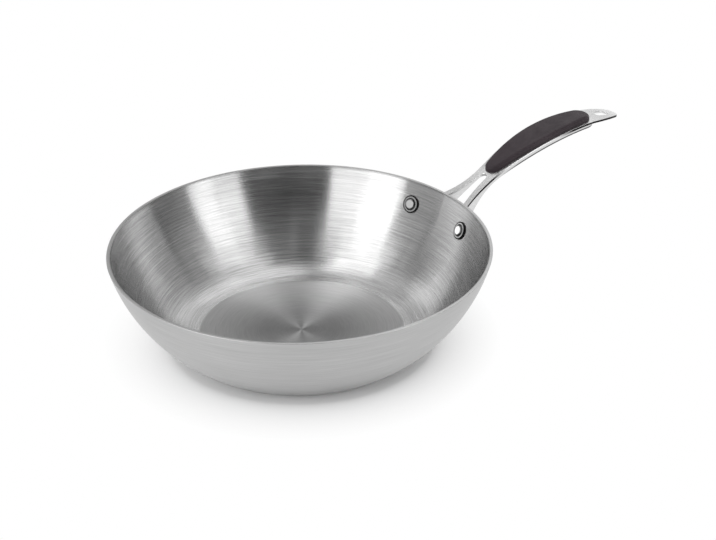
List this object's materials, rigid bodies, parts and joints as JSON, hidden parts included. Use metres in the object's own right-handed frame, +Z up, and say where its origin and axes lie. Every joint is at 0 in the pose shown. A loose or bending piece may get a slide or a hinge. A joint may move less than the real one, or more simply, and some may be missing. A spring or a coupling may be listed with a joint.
{
  "type": "stovetop wok",
  "caption": "Flat-bottomed stainless steel wok with a layered wall, one long forked riveted handle, a soft insert along the handle and a hanging eye.",
  "frame": {"origin": "centre of the flat base, on the surface it stands on", "axes": "+X along the handle, away from the bowl; +Z up, the bowl's own axis; +Y to the left seen from the bowl towards the handle's tip"},
  "size_m": [0.4513, 0.2798, 0.1002],
  "materials": {
    "cooking_steel": "fine circular brushing",
    "outer_steel": "satin, brushed round the bowl",
    "core_aluminium": "plain edge between the two skins",
    "handle_steel": "polished bright with rounded edges",
    "rivet_steel": "polished",
    "grip_rubber": "matt charcoal, smooth"
  },
  "bodies": {
    "root": {"inner_skin": "cooking_steel", "aluminium_core": "core_aluminium", "outer_skin": "outer_steel", "handle_frame": "handle_steel", "handle_top_plate": "handle_steel", "soft_grip": "grip_rubber", "left_rivet": "rivet_steel", "right_rivet": "rivet_steel"}
  },
  "joints": []
}
